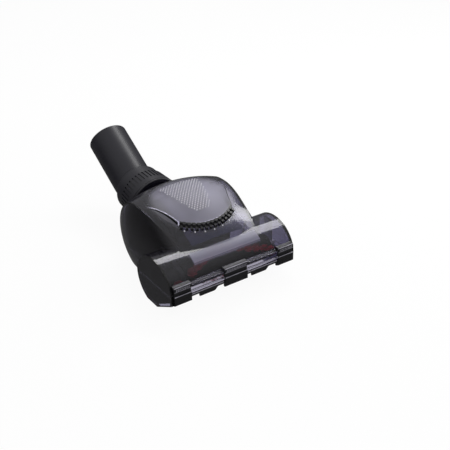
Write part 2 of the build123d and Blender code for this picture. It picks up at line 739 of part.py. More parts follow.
def make_roller_core():
    """Roller body with a neck for the pulley, drilled for the tufts and the end pins."""
    core = x_rod(CORE_RADIUS, -ROLLER_HALF, ROLLER_HALF, ROLLER_Y, ROLLER_Z)
    low = BELT_X - PULLEY_WIDTH / 2 - 0.5
    high = BELT_X + PULLEY_WIDTH / 2 + FLANGE_THICK
    ring = x_rod(CORE_RADIUS + 1, low, high, ROLLER_Y, ROLLER_Z)
    core -= ring - x_rod(CORE_RADIUS / 2, low - 1, high + 1, ROLLER_Y, ROLLER_Z)
    for side in (-1, 1):
        x_a = side * (ROLLER_HALF - PIN_SOCKET)
        x_b = side * (ROLLER_HALF + 1)
        core -= x_rod(PIN_RADIUS, min(x_a, x_b), max(x_a, x_b), ROLLER_Y, ROLLER_Z)
    return core - tufts(CORE_RADIUS + 1)


def make_roller_pin(side):
    x_a = side * (ROLLER_HALF - PIN_SOCKET)
    x_b = side * PIN_REACH
    return x_rod(PIN_RADIUS, min(x_a, x_b), max(x_a, x_b), ROLLER_Y, ROLLER_Z)


def make_roller_bush(side):
    """Square bush that drops into the bracket's slot."""
    half = BUSH_SIZE / 2
    x_a = side * BUSH_IN
    x_b = side * BUSH_OUT
    y_low, y_high = ROLLER_Y - half, ROLLER_Y + half
    z_low, z_high = ROLLER_Z - half, ROLLER_Z + half
    bush = block(min(x_a, x_b), max(x_a, x_b), y_low, y_high, z_low, z_high)
    return bush - x_rod(PIN_RADIUS + RUN_GAP, -HEAD_WIDTH, HEAD_WIDTH, ROLLER_Y, ROLLER_Z)


def make_roller_end_cap():
    """Black lining disc in the left end of the drum."""
    edge = -HEAD_WIDTH / 2 + WALL
    lining_drum = drum(WALL + 0.05)
    disc = lining_drum & block(edge, edge + 1.6, -150, 0, WALL, DRUM_Z + DRUM_RISE)
    return disc - front_cut()


def make_screw(x, y, head_z):
    head = upright(SCREW_HEAD_R, x, y, head_z - SCREW_HEAD, head_z)
    shank = upright(SCREW_RADIUS, x, y, head_z, PARTING_Z + SCREW_GRIP - 1)
    slot_z = head_z - SCREW_HEAD
    cross = Pos(x, y, slot_z) * (Box(3.6, 0.9, 1.6) + Box(0.9, 3.6, 1.6))
    return head + shank - cross


def make_neck_socket():
    """Tilting barrel with trunnions, an open front port and a flared, threaded throat."""
    wall = THROAT_RADIUS - THROAT_BORE
    body = x_rod(PIVOT_RADIUS, -PIVOT_HALF, PIVOT_HALF, PIVOT_Y, PIVOT_Z)
    body += neck_turned(
        (0, -COLLAR_START),
        (THROAT_RADIUS, -COLLAR_START),
        (THROAT_RADIUS, THROAT_FLARE),
        (THREAD_RADIUS, THREAD_START),
        (THREAD_RADIUS, THREAD_END),
        (0, THREAD_END),
    )
    inside = PIVOT_HALF - PIVOT_WALL
    body -= x_rod(PIVOT_RADIUS - PIVOT_WALL, -inside, inside, PIVOT_Y, PIVOT_Z)
    body -= neck_turned(
        (0, -COLLAR_START),
        (THROAT_BORE, -COLLAR_START),
        (THROAT_BORE, THROAT_FLARE + wall / 2),
        (THREAD_BORE, THREAD_START + wall),
        (THREAD_BORE, THREAD_END + 1),
        (0, THREAD_END + 1),
    )
    port = PIVOT_RADIUS * 0.6
    low_y = PIVOT_Y - PIVOT_RADIUS - 1
    body -= block(-PIVOT_RADIUS, PIVOT_RADIUS, low_y, PIVOT_Y, PIVOT_Z - port, PIVOT_Z + port)
    for side in (-1, 1):
        x_a = side * (PIVOT_HALF - 0.5)
        x_b = side * (CHAMBER_HALF + CHAMBER_WALL)
        body += x_rod(TRUNNION_RADIUS, min(x_a, x_b), max(x_a, x_b), PIVOT_Y, PIVOT_Z)
    return body


def make_swivel_collar():
    """Slotted cone screwed on to the throat; its step holds the tube's flange."""
    hole = TUBE_RADIUS + 0.7
    step = THREAD_END + SEAL_THICK + FLANGE_LENGTH + 2 * SWIVEL_GAP
    slope = (COLLAR_TOP_R - COLLAR_LIP_R) / COLLAR_LENGTH
    body = neck_turned(
        (THREAD_RADIUS, 0),
        (COLLAR_LIP_R - 0.6, 0),
        (COLLAR_LIP_R, 0.6),
        (COLLAR_LIP_R, 1.6),
        (COLLAR_LIP_R - 0.8, 1.9),
        (COLLAR_LIP_R - 0.8, 2.4),
        (COLLAR_LIP_R + slope * 2.8, 2.8),
        (COLLAR_TOP_R, COLLAR_LENGTH - 0.8),
        (COLLAR_TOP_R - 0.8, COLLAR_LENGTH),
        (hole, COLLAR_LENGTH),
        (hole, step),
        (THREAD_RADIUS, step),
    )
    tilt = math.radians(NECK_TILT)
    lip = neck_point(COLLAR_START)
    frame = Plane(origin=lip, x_dir=(1, 0, 0), z_dir=(0, -math.sin(tilt), math.cos(tilt)))

    def floor(along):
        return COLLAR_LIP_R + slope * along - SLOT_DEPTH

    groove = closed(
        (floor(SLOT_START), SLOT_START),
        (COLLAR_LIP_R + 1, SLOT_START),
        (COLLAR_LIP_R + 1, SLOT_END),
        (floor(SLOT_END), SLOT_END),
    )
    cutter = extrude(frame * groove, amount=SLOT_WIDTH / 2, both=True)
    axis = Axis(lip, neck_direction(NECK_TILT))
    return body - [cutter.rotate(axis, 360 * i / COLLAR_SLOTS) for i in range(COLLAR_SLOTS)]


def make_neck_seal():
    """Flat rubber ring between the throat and the tube's flange."""
    return neck_turned(
        (THREAD_BORE + 0.5, THREAD_END),
        (THREAD_RADIUS - 0.5, THREAD_END),
        (THREAD_RADIUS - 0.5, THREAD_END + SEAL_THICK),
        (THREAD_BORE + 0.5, THREAD_END + SEAL_THICK),
    )


def make_elbow_ring():
    """Plain ring pushed on to the tube behind the collar; its far end is rounded."""
    start = COLLAR_LENGTH + SWIVEL_GAP
    end = start + RING_LENGTH
    bore = TUBE_RADIUS + RUN_GAP
    return neck_turned(
        (bore, start),
        (RING_RADIUS, start),
        (RING_RADIUS - 0.3, end - 2.2),
        (RING_RADIUS - 1.0, end - 0.8),
        (RING_RADIUS - 2.2, end),
        (bore, end),
    )


def neck_path(start):
    """Middle line of the elbow, from the flange to the mouth of the tube."""
    corner = Vector(*neck_point(COLLAR_START + ELBOW_AT))
    first = Vector(*neck_point(COLLAR_START + start))
    last = corner + Vector(*neck_direction(TUBE_TILT)) * TUBE_LENGTH
    return FilletPolyline(first, corner, last, radius=ELBOW_RADIUS)


def make_neck_tube():
    """Elbow and tube, flanged inside the collar, with a plain bore at the mouth."""
    start = THREAD_END + SEAL_THICK + SWIVEL_GAP
    foot = neck_point(COLLAR_START + start)
    plane = Plane(origin=foot, x_dir=(1, 0, 0), z_dir=neck_direction(NECK_TILT))
    path = neck_path(start)
    tube = sweep(plane * Circle(TUBE_RADIUS), path=path)
    bore = sweep(plane * Circle(TUBE_BORE), path=path)
    flange_end = start + FLANGE_LENGTH
    tube += neck_turned(
        (TUBE_BORE, start), (FLANGE_RADIUS, start), (FLANGE_RADIUS, flange_end), (TUBE_BORE, flange_end)
    )
    tube -= bore
    rim = [e for e in tube.edges().filter_by(GeomType.CIRCLE) if e.center().Z > PIVOT_Z + TUBE_LENGTH / 2]
    outer_rim = max(rim, key=lambda e: e.radius)
    return fillet(outer_rim, radius=0.9)


def screws():
    return Compound(children=[make_screw(*place) for place in screw_places()])


PARTS = {
    "upper_housing": make_upper_housing,
    "lower_housing": make_lower_housing,
    "vent_grille": make_vent_grille,
    "visor_skirt_left": lambda: make_visor_skirt(-1),
    "visor_skirt_right": lambda: make_visor_skirt(1),
    "front_bumper": make_front_bumper,
    "tooth_strip": make_tooth_strip,
    "front_lug_left": lambda: make_front_lug(*lug_spans()[0]),
    "front_lug_centre": lambda: make_front_lug(*lug_spans()[1]),
    "front_lug_right": lambda: make_front_lug(*lug_spans()[2]),
    "chamber_wall_left": lambda: make_chamber_wall(-1),
    "chamber_wall_right": lambda: make_chamber_wall(1),
    "air_guide": make_air_guide,
    "belt_cover": make_belt_cover,
    "drive_belt": make_drive_belt,
    "turbine_rotor": make_turbine_rotor,
    "turbine_shaft": lambda: x_rod(SHAFT_RADIUS, SHAFT_LEFT, SHAFT_RIGHT, TURBINE_Y, TURBINE_Z),
    "turbine_pulley": lambda: pulley(TURBINE_PULLEY_R, 12, TURBINE_Y, TURBINE_Z, SHAFT_RADIUS),
    "turbine_bush_left": lambda: make_turbine_bush(-1),
    "turbine_bush_right": lambda: make_turbine_bush(1),
    "roller_core": make_roller_core,
    "roller_bristles": lambda: Compound(children=tufts(BRISTLE_RADIUS)),
    "roller_pulley": lambda: pulley(ROLLER_PULLEY_R, 24, ROLLER_Y, ROLLER_Z, CORE_RADIUS / 2),
    "roller_pin_left": lambda: make_roller_pin(-1),
    "roller_pin_right": lambda: make_roller_pin(1),
    "roller_bush_left": lambda: make_roller_bush(-1),
    "roller_bush_right": lambda: make_roller_bush(1),
    "roller_end_cap": make_roller_end_cap,
    "housing_screws": screws,
    "neck_socket": make_neck_socket,
    "swivel_collar": make_swivel_collar,
    "neck_seal": make_neck_seal,
    "neck_tube": make_neck_tube,
    "elbow_ring": make_elbow_ring,
}

for node, make in PARTS.items():
    export_step(make(), f"parts/{node}.step")
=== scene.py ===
import math
import random

import bpy
from mathutils import Matrix, Vector


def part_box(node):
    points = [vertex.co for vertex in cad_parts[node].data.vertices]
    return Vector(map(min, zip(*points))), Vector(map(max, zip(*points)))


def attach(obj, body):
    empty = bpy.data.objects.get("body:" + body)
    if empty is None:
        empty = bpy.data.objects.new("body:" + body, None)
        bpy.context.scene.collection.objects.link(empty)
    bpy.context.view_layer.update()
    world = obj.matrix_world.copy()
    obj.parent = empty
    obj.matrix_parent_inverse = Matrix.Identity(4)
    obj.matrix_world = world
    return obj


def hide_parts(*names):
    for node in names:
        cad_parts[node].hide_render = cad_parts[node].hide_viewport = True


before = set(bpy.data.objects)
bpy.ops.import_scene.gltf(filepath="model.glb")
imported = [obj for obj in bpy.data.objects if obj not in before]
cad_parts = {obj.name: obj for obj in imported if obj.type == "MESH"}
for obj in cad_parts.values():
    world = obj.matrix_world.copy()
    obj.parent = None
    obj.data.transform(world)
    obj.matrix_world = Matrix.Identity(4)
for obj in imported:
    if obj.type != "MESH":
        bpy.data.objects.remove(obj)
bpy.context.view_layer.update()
MM = 0.001

# Camera: a long lens above the left front corner of the head, fitted to the photograph.
# The picture is level but for under a degree of roll.
CAMERA_AZIMUTH = -34.4
CAMERA_ELEVATION = 29.5
CAMERA_ROLL = -0.8
CAMERA_LENS = 62.08
CAMERA_PLACE = Vector((-0.33125, -0.55845, 0.39716))
SENSOR_WIDTH = 36.0
CLIP_NEAR = 0.02

camera_data = bpy.data.cameras.new("camera")
camera_data.lens = CAMERA_LENS
camera_data.sensor_width = SENSOR_WIDTH
camera_data.clip_start = CLIP_NEAR
camera = bpy.data.objects.new("camera", camera_data)
bpy.context.collection.objects.link(camera)
aim = Matrix.Rotation(math.radians(CAMERA_AZIMUTH), 4, "Z")
pitch = Matrix.Rotation(math.radians(90 - CAMERA_ELEVATION), 4, "X")
roll = Matrix.Rotation(math.radians(CAMERA_ROLL), 4, "Z")
camera.matrix_world = Matrix.Translation(CAMERA_PLACE) @ aim @ pitch @ roll
bpy.context.scene.camera = camera


def colour(code):
    """Linear colour from an sRGB hex value."""
    parts = [int(code[i : i + 2], 16) / 255 for i in (1, 3, 5)]
    linear = [p / 12.92 if p <= 0.04045 else ((p + 0.055) / 1.055) ** 2.4 for p in parts]
    return (*linear, 1.0)


def add_node(tree, kind, settings=None, **links):
    """Adds a node: settings are its properties, links its inputs by name, or i0, i1 by number."""
    node = tree.nodes.new(kind)
    for key, value in (settings or {}).items():
        setattr(node, key, value)
    for key, value in links.items():
        by_number = key[0] == "i" and key[1:].isdigit()
        socket = node.inputs[int(key[1:]) if by_number else key.replace("_", " ")]
        if isinstance(value, bpy.types.NodeSocket):
            tree.links.new(value, socket)
        else:
            socket.default_value = value
    return node


def new_material(name):
    """Empty node material with its shader and output."""
    material = bpy.data.materials.new(name)
    material.use_nodes = True
    tree = material.node_tree
    tree.nodes.clear()
    shader = tree.nodes.new("ShaderNodeBsdfPrincipled")
    output = tree.nodes.new("ShaderNodeOutputMaterial")
    tree.links.new(shader.outputs[0], output.inputs[0])
    return material, tree, shader


# Studio: white paper under a wide overhead softbox, as for a catalogue picture.
# The camera and the clear plastic see the paper as white; gloss sees a dimmer paper, and
# so does all that is seen by way of a glossy face. The world is white to the camera alone.
FLOOR_SIZE = 6.0
FLOOR_DROP = 0.2 * MM
PAPER_WHITE = 0.93
PAPER_IN_GLOSS = 0.13
SKY_TOP = 0.7
SKY_EDGE = 0.12
SKY_TOP_FROM = 0.8
LAMP_TARGET = Vector((0, 0, 0.03))

bpy.ops.mesh.primitive_plane_add(size=FLOOR_SIZE, location=(0, 0, -FLOOR_DROP))
floor = bpy.context.object
floor.name = "studio_floor"
paper, tree, shader = new_material("white_paper")
tree.nodes.remove(shader)
matt = add_node(tree, "ShaderNodeBsdfDiffuse", Color=colour("#f6f6f6"))
path = add_node(tree, "ShaderNodeLightPath")
mirrored = add_node(tree, "ShaderNodeMath", {"operation": "MINIMUM"},
                    i0=path.outputs["Glossy Depth"], i1=1.0)
power = add_node(tree, "ShaderNodeMapRange", Value=mirrored.outputs[0],
                 To_Min=1.0, To_Max=PAPER_IN_GLOSS)
glow = add_node(tree, "ShaderNodeEmission", Color=(1, 1, 1, 1), Strength=power.outputs["Result"])
seen = add_node(tree, "ShaderNodeMath", {"operation": "MAXIMUM"},
                i0=path.outputs["Is Camera Ray"], i1=path.outputs["Is Transmission Ray"])
direct = add_node(tree, "ShaderNodeMath", {"operation": "MULTIPLY"},
                  i0=seen.outputs[0], i1=PAPER_WHITE)
share = add_node(tree, "ShaderNodeMath", {"operation": "MAXIMUM"},
                 i0=direct.outputs[0], i1=mirrored.outputs[0])
both = add_node(tree, "ShaderNodeMixShader",
                i0=share.outputs[0], i1=matt.outputs[0], i2=glow.outputs[0])
tree.links.new(both.outputs[0], tree.nodes["Material Output"].inputs[0])
floor.data.materials.append(paper)

world = bpy.data.worlds.new("studio")
bpy.context.scene.world = world
world.use_nodes = True
sky = world.node_tree
bearing = add_node(sky, "ShaderNodeTexCoord").outputs["Generated"]
height = add_node(sky, "ShaderNodeSeparateXYZ", Vector=bearing)
level = add_node(sky, "ShaderNodeMapRange", Value=height.outputs["Z"],
                 From_Min=0.0, From_Max=SKY_TOP_FROM, To_Min=SKY_EDGE, To_Max=SKY_TOP)
eye = add_node(sky, "ShaderNodeLightPath").outputs["Is Camera Ray"]
strength = add_node(sky, "ShaderNodeMath", {"operation": "MAXIMUM"},
                    i0=level.outputs["Result"], i1=eye)
sky.nodes["Background"].inputs[0].default_value = (1, 1, 1, 1)
sky.links.new(strength.outputs[0], sky.nodes["Background"].inputs[1])


def soft_lamp(name, place, size, power):
    """Rectangular softbox that faces the head."""
    data = bpy.data.lights.new(name, "AREA")
    data.shape = "RECTANGLE"
    data.size, data.size_y = size
    data.energy = power
    lamp = bpy.data.objects.new(name, data)
    bpy.context.collection.objects.link(lamp)
    direction = LAMP_TARGET - Vector(place)
    turn = direction.to_track_quat("-Z", "Y").to_matrix().to_4x4()
    lamp.matrix_world = Matrix.Translation(place) @ turn


soft_lamp("overhead_softbox", (0.56, 0.34, 0.94), (0.9, 0.32), 4.8)
soft_lamp("front_fill", (-0.2, -1.1, 0.55), (0.9, 0.2), 2.0)
soft_lamp("right_strip", (0.9, -0.1, 0.45), (0.3, 0.9), 2.5)

bpy.context.scene.view_settings.view_transform = "Standard"

# Housings: upper and lower shells of clear ABS with a grey-violet smoke, injection moulded in
# polished tools and screwed together. The eye sees a gloss with a slight ripple, and the parts
# inside through it. The visor and a field on the ramp's front are duller, which softens them. The
# field is also less clear, so its pale base colour shows there: a painted reflection on the ramp's
# front.
RIPPLE = 14.0 * MM
FIELD_HALF = 36.0 * MM
FIELD_REAR = -69.0 * MM
FIELD_FRONT = -80.0 * MM
FIELD_FOOT = 38.0 * MM
FIELD_EDGE = 1.2 * MM
VISOR_HALF = 44.0 * MM
VISOR_MIDDLE = -20.0 * MM
VISOR_DEPTH = 40.0 * MM
VISOR_FADE = (1.05, 0.75)
GLOSS_ROUGH = (0.03, 0.09)
FIELD_ROUGH = 0.3
VISOR_ROUGH = 0.45
FIELD_CLEAR = 0.6
LIGHT_LET_IN = 0.85
CLEAR_IOR = 1.5
SMOOTH = {"interpolation_type": "SMOOTHSTEP"}
COLOUR_MIX = {"data_type": "RGBA"}


def finish_node(name, material):
    """Gives a CAD node its material."""
    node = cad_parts[name]
    node.data.materials.clear()
    node.data.materials.append(material)


smoke, tree, shader = new_material("smoked_clear_abs")
place = add_node(tree, "ShaderNodeTexCoord").outputs["Object"]
axes = add_node(tree, "ShaderNodeSeparateXYZ", Vector=place)
across = add_node(tree, "ShaderNodeMath", {"operation": "ABSOLUTE"}, i0=axes.outputs["X"])
side_edge = add_node(tree, "ShaderNodeMapRange", SMOOTH, Value=across.outputs[0],
                     From_Min=FIELD_HALF, From_Max=FIELD_HALF - FIELD_EDGE)
rear_edge = add_node(tree, "ShaderNodeMapRange", SMOOTH, Value=axes.outputs["Y"],
                     From_Min=FIELD_REAR, From_Max=FIELD_REAR - FIELD_EDGE)
front_edge = add_node(tree, "ShaderNodeMapRange", SMOOTH, Value=axes.outputs["Y"],
                      From_Min=FIELD_FRONT, From_Max=FIELD_FRONT + FIELD_EDGE)
foot_edge = add_node(tree, "ShaderNodeMapRange", Value=axes.outputs["Z"],
                     From_Min=FIELD_FOOT, From_Max=FIELD_FOOT + FIELD_EDGE)
visor_x = add_node(tree, "ShaderNodeMath", {"operation": "DIVIDE"},
                   i0=axes.outputs["X"], i1=VISOR_HALF)
visor_y = add_node(tree, "ShaderNodeMath", {"operation": "ADD"},
                   i0=axes.outputs["Y"], i1=-VISOR_MIDDLE)
visor_y = add_node(tree, "ShaderNodeMath", {"operation": "DIVIDE"},
                   i0=visor_y.outputs[0], i1=VISOR_DEPTH)
visor_spot = add_node(tree, "ShaderNodeCombineXYZ", X=visor_x.outputs[0], Y=visor_y.outputs[0])
visor_far = add_node(tree, "ShaderNodeVectorMath", {"operation": "LENGTH"}, i0=visor_spot.outputs[0])
visor = add_node(tree, "ShaderNodeMapRange", SMOOTH, Value=visor_far.outputs["Value"],
                 From_Min=VISOR_FADE[0], From_Max=VISOR_FADE[1])
field = side_edge.outputs["Result"]
for edge in (rear_edge, front_edge, foot_edge):
    within = add_node(tree, "ShaderNodeMath", {"operation": "MULTIPLY"},
                      i0=field, i1=edge.outputs["Result"])
    field = within.outputs[0]
tint = add_node(tree, "ShaderNodeMix", COLOUR_MIX, i0=field,
                i6=colour("#8d8a9f"), i7=colour("#88869c"))
# The field lets less light through, so the shell shows pale there: a painted reflection.
painted_reflection_clear = add_node(tree, "ShaderNodeMapRange", Value=field, To_Min=1.0, To_Max=FIELD_CLEAR)
wave = add_node(tree, "ShaderNodeTexNoise", Vector=place, Scale=1 / RIPPLE, Detail=1.0)
polish = add_node(tree, "ShaderNodeMapRange", Value=wave.outputs[0],
                  To_Min=GLOSS_ROUGH[0], To_Max=GLOSS_ROUGH[1])
rough = add_node(tree, "ShaderNodeMix", {"data_type": "FLOAT"},
                 i0=field, i2=polish.outputs["Result"], i3=FIELD_ROUGH)
rough = add_node(tree, "ShaderNodeMix", {"data_type": "FLOAT"},
                 i0=visor.outputs["Result"], i2=rough.outputs[0], i3=VISOR_ROUGH)
bump = add_node(tree, "ShaderNodeBump", Strength=0.15, Distance=0.2 * MM, Height=wave.outputs[0])
# The clear shells cast little shadow, so that the lamps light the parts inside.
shadow = add_node(tree, "ShaderNodeLightPath").outputs["Is Shadow Ray"]
solid = add_node(tree, "ShaderNodeMapRange", Value=shadow, To_Min=1.0, To_Max=1 - LIGHT_LET_IN)
tree.links.new(solid.outputs["Result"], shader.inputs["Alpha"])
shader.inputs["IOR"].default_value = CLEAR_IOR
tree.links.new(tint.outputs[2], shader.inputs["Base Color"])
tree.links.new(painted_reflection_clear.outputs["Result"], shader.inputs["Transmission Weight"])
tree.links.new(rough.outputs[0], shader.inputs["Roughness"])
tree.links.new(bump.outputs[0], shader.inputs["Normal"])
finish_node("upper_housing", smoke)
finish_node("lower_housing", smoke)

# Front bumper: one long clip-on bar of clear ABS without smoke, from a satin tool, so it
# scatters light and looks pale beside the smoked shells. Fine flow marks run along it.
FLOW_MARK = 3.0 * MM

bumper_clear, tree, shader = new_material("clear_abs")
place = add_node(tree, "ShaderNodeTexCoord").outputs["Object"]
stretched = add_node(tree, "ShaderNodeMapping", Vector=place, Scale=(0.1, 1.0, 1.0))
flow = add_node(tree, "ShaderNodeTexNoise", Vector=stretched.outputs[0],
                Scale=1 / FLOW_MARK, Detail=2.0)
satin_gloss = add_node(tree, "ShaderNodeMapRange", Value=flow.outputs[0], To_Min=0.05, To_Max=0.14)
bump = add_node(tree, "ShaderNodeBump", Strength=0.1, Distance=0.05 * MM, Height=flow.outputs[0])
shader.inputs["Base Color"].default_value = colour("#a9a6b6")
shader.inputs["IOR"].default_value = CLEAR_IOR
shader.inputs["Transmission Weight"].default_value = 1.0
tree.links.new(satin_gloss.outputs["Result"], shader.inputs["Roughness"])
tree.links.new(bump.outputs[0], shader.inputs["Normal"])
finish_node("front_bumper", bumper_clear)

# Ribs and edges: slanted moulded ribs on the bumper's ledge and the clips' heads, which stop
# a hand from slipping, and round beads along the edges. On the black ABS they are painted pale
# grey: a painted highlight for the lines of light along them. Each row is one rib, repeated at an
# even pitch.
RIB_PITCH = 1.8 * MM
RIB_WIDTH = 0.55 * MM
RIB_REACH = 0.28 * MM
RIB_SINK = 0.1 * MM
RIB_LEAN = 24.0
BEAD_RADIUS = 0.42 * MM
CLIP_ROOM = 0.8 * MM
CLIP_FACE_BACK = 0.45 * MM
CLIP_RIBS_FOOT = 4.0 * MM
CLIP_RIBS_TOP = 1.7 * MM
# Each clip's edges, with how far they lie behind its front and below its top.
CLIP_EDGES = (
    ("top", 1.05 * MM, 0.75 * MM),
    ("head", 0.75 * MM, 4.25 * MM),
    ("foot", 0.55 * MM, 9.5 * MM),
)
LEDGE_SHORTEST = 5.0 * MM
LEDGE_RIBS_FOOT = 3.1 * MM
LEDGE_RIBS_TOP = 1.5 * MM
LEDGE_EDGE_DROP = 1.0 * MM
TOOTH_EDGE_DROP = 0.4 * MM
BAR_EDGE_BACK = 0.5 * MM


def deselect():
    """Deselects every object."""
    bpy.ops.object.select_all(action="DESELECT")


def apply_modifiers(piece):
    """Applies a piece's modifiers in their order."""
    deselect()
    piece.select_set(True)
    bpy.context.view_layer.objects.active = piece
    for modifier in list(piece.modifiers):
        bpy.ops.object.modifier_apply(modifier=modifier.name)


def settle(piece, name, material, body):
    """Names a finished piece, puts its place in its mesh, and ties it to its body."""
    deselect()
    piece.select_set(True)
    bpy.context.view_layer.objects.active = piece
    bpy.ops.object.transform_apply(location=True, rotation=True, scale=True)
    piece.name = name
    piece.data.name = name
    piece.data.materials.clear()
    piece.data.materials.append(material)
    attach(piece, body)
    return piece


def join_pieces(pieces):
    """Joins like pieces into the first of them."""
    deselect()
    for piece in pieces:
        piece.select_set(True)
    bpy.context.view_layer.objects.active = pieces[0]
    bpy.ops.object.join()
    return pieces[0]


def rib_row(name, x_low, x_high, y_face, z_low, z_high, material):
    """One slanted rib with soft edges, repeated from one end of a face to the other."""
    deselect()
    count = int((x_high - x_low - RIB_WIDTH) / RIB_PITCH)
    start = (x_low + x_high - (count - 1) * RIB_PITCH) / 2
    lean = (z_high - z_low) * math.tan(math.radians(RIB_LEAN)) / 2
    middle = (start, y_face + (RIB_SINK - RIB_REACH) / 2, (z_low + z_high) / 2)
    bpy.ops.mesh.primitive_cube_add(size=1.0, location=middle)
    rib = bpy.context.object
    rib.scale = (RIB_WIDTH, RIB_REACH + RIB_SINK, z_high - z_low)
    bpy.ops.object.transform_apply(location=True, rotation=False, scale=True)
    for vertex in rib.data.vertices:
        vertex.co.x += lean * (1 if vertex.co.z > middle[2] else -1)
    bevel = rib.modifiers.new("edges", "BEVEL")
    bevel.width = RIB_REACH * 0.4
    bevel.segments = 1
    array = rib.modifiers.new("row", "ARRAY")
    array.use_relative_offset = False
    array.use_constant_offset = True
    array.constant_offset_displace = (RIB_PITCH, 0, 0)
    array.count = count
    apply_modifiers(rib)
    return settle(rib, name, material, "housing")


def edge_bead(name, x_low, x_high, y, z, material):
    """Round bead along an edge, with its ends rounded off, that catches a line of light."""
    deselect()
    bpy.ops.mesh.primitive_cylinder_add(
        vertices=16, radius=BEAD_RADIUS, depth=x_high - x_low,
        location=((x_low + x_high) / 2, y, z), rotation=(0, math.pi / 2, 0))
    bead = bpy.context.object
    rounding = bead.modifiers.new("ends", "BEVEL")
    rounding.width = BEAD_RADIUS * 0.5
    rounding.segments = 2
    rounding.angle_limit = math.radians(60)
    apply_modifiers(bead)
    bead.data.shade_smooth()
    return settle(bead, name, material, "housing")


# Pale grey of the ribs and beads, lighter and darker in patches: a painted highlight.
HIGHLIGHT_PATCH = 5.0 * MM

highlight_grey, tree, shader = new_material("pale_highlight_abs")
place = add_node(tree, "ShaderNodeTexCoord").outputs["Object"]
highlight_mottle = add_node(tree, "ShaderNodeTexNoise", Vector=place, Scale=1 / HIGHLIGHT_PATCH, Detail=2.0)
shade = add_node(tree, "ShaderNodeMix", COLOUR_MIX, i0=highlight_mottle.outputs[0],
                 i6=colour("#62606b"), i7=colour("#b3b1bc"))
tree.links.new(shade.outputs[2], shader.inputs["Base Color"])
shader.inputs["Roughness"].default_value = 0.25

clips = ("front_lug_left", "front_lug_centre", "front_lug_right")
ledge_low, ledge_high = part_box("front_bumper")
strip_low, strip_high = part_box("tooth_strip")
ends = [ledge_low[0]]
for clip in clips:
    low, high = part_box(clip)
    rib_row(clip + "_ribs", low[0] + CLIP_ROOM, high[0] - CLIP_ROOM, low[1] + CLIP_FACE_BACK,
            high[2] - CLIP_RIBS_FOOT, high[2] - CLIP_RIBS_TOP, highlight_grey)
    for part, back, drop in CLIP_EDGES:
        edge_bead(f"{clip}_{part}_edge", low[0] + RIB_SINK, high[0] - RIB_SINK,
                  low[1] + back, high[2] - drop, highlight_grey)
    ends += [low[0], high[0]]
ends.append(ledge_high[0])
for number, (x_low, x_high) in enumerate(zip(ends[2:-1:2], ends[3::2])):
    if x_high - x_low > LEDGE_SHORTEST:
        x_low += CLIP_ROOM
        x_high -= CLIP_ROOM
        rib_row(f"ledge_ribs_{number + 1}", x_low, x_high, ledge_low[1],
                ledge_high[2] - LEDGE_RIBS_FOOT, ledge_high[2] - LEDGE_RIBS_TOP,
                bumper_clear)
        edge_bead(f"ledge_edge_{number + 1}", x_low, x_high, ledge_low[1] + BAR_EDGE_BACK,
                  ledge_high[2] - LEDGE_EDGE_DROP, bumper_clear)
        edge_bead(f"tooth_edge_{number + 1}", x_low, x_high, strip_low[1] + BAR_EDGE_BACK,
                  strip_high[2] - TOOTH_EDGE_DROP, highlight_grey)

# Black mouldings: clips, covers, grille, visor blades, tooth strip, roller body and pulleys.
# Black ABS from lightly sparked tools: outside, a soft sheen broken up by a very fine grain;
# inside, matt with a faint brown cast in patches.
BLACK_GRAIN = 0.5 * MM

black, tree, shader = new_material("black_abs")
place = add_node(tree, "ShaderNodeTexCoord").outputs["Object"]
grain = add_node(tree, "ShaderNodeTexNoise", Vector=place, Scale=1 / BLACK_GRAIN, Detail=2.0)
gloss = add_node(tree, "ShaderNodeMapRange", Value=grain.outputs[0], To_Min=0.2, To_Max=0.38)
shade = add_node(tree, "ShaderNodeMix", COLOUR_MIX, i0=grain.outputs[0],
                 i6=colour("#0c0c0e"), i7=colour("#17171a"))
bump = add_node(tree, "ShaderNodeBump", Strength=0.15, Distance=0.03 * MM, Height=grain.outputs[0])
tree.links.new(gloss.outputs["Result"], shader.inputs["Roughness"])
tree.links.new(shade.outputs[2], shader.inputs["Base Color"])
tree.links.new(bump.outputs[0], shader.inputs["Normal"])

INNER_PATCH = 6.0 * MM

inner_black, tree, shader = new_material("matt_black_abs")
place = add_node(tree, "ShaderNodeTexCoord").outputs["Object"]
grain = add_node(tree, "ShaderNodeTexNoise", Vector=place, Scale=1 / INNER_PATCH, Detail=2.0)
shade = add_node(tree, "ShaderNodeMix", COLOUR_MIX, i0=grain.outputs[0],
                 i6=colour("#0a090a"), i7=colour("#1b1417"))
tree.links.new(shade.outputs[2], shader.inputs["Base Color"])
shader.inputs["Roughness"].default_value = 0.8
shader.inputs["Specular IOR Level"].default_value = 0.1

for name in clips + ("vent_grille", "visor_skirt_left", "visor_skirt_right", "tooth_strip"):
    finish_node(name, black)
for name in ("belt_cover", "roller_end_cap", "roller_core", "roller_pulley", "turbine_pulley"):
    finish_node(name, inner_black)

# Duct lining: thin grey-violet ABS film, laid under the roof between the chamber walls.
# Through the smoke it gives the visor its even grey. To the front it is painted dark indigo: painted
# shade for the dark band where the ramp meets the roller chamber.
LINING_HALF = 27.2 * MM
LINING_REAR = 8.0 * MM
LINING_FRONT = -63.0 * MM
LINING_START = 30.0 * MM
LINING_GAP = 0.15 * MM
LINING_THICK = 0.25 * MM
LINING_STEP = 1.0 * MM
LINING_MOTTLE = 9.0 * MM
PAINTED_SHADE_FROM = -49.0 * MM
PAINTED_SHADE_TO = -62.0 * MM

lining_grey, tree, shader = new_material("violet_grey_abs")
place = add_node(tree, "ShaderNodeTexCoord").outputs["Object"]
axes = add_node(tree, "ShaderNodeSeparateXYZ", Vector=place)
